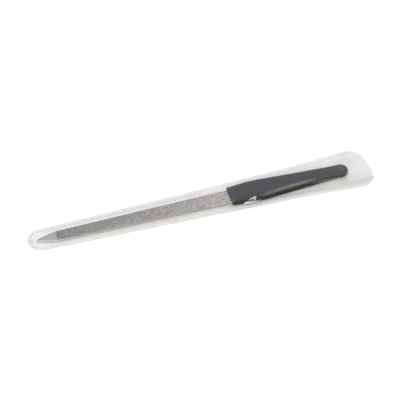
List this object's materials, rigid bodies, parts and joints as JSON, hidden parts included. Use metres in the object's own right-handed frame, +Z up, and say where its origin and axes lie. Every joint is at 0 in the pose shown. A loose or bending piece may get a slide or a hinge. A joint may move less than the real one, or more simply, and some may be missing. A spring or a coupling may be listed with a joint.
{
  "type": "nail file",
  "caption": "Slim sapphire nail file with a bare lancet point, gritted blade and chamfered dark handle, lying in a clear welded film sleeve that it slides out of.",
  "frame": {"origin": "under the middle of the sleeve's outline, on the surface that the sleeve lies on", "axes": "+X along the file towards its handle and the sleeve's mouth, +Y across the file, +Z up"},
  "size_m": [0.2002, 0.03, 0.0065],
  "materials": {
    "steel": "nickel plated, polished at the point",
    "grit": "fine corundum grit, matt with a sparkle",
    "handle_plastic": "moulded, satin",
    "clear_film": "clear soft vinyl, slightly milky"
  },
  "bodies": {
    "sleeve": {"sleeve_lower_film": "clear_film", "sleeve_upper_film": "clear_film"},
    "file": {"blade": "steel", "grit_coat_upper": "grit", "grit_coat_lower": "grit", "handle": "handle_plastic"}
  },
  "joints": [
    {"name": "file_slide", "type": "slide", "parent": "sleeve", "child": "file", "axis": [1, 0, 0], "range_m": [0, 0.197]}
  ]
}
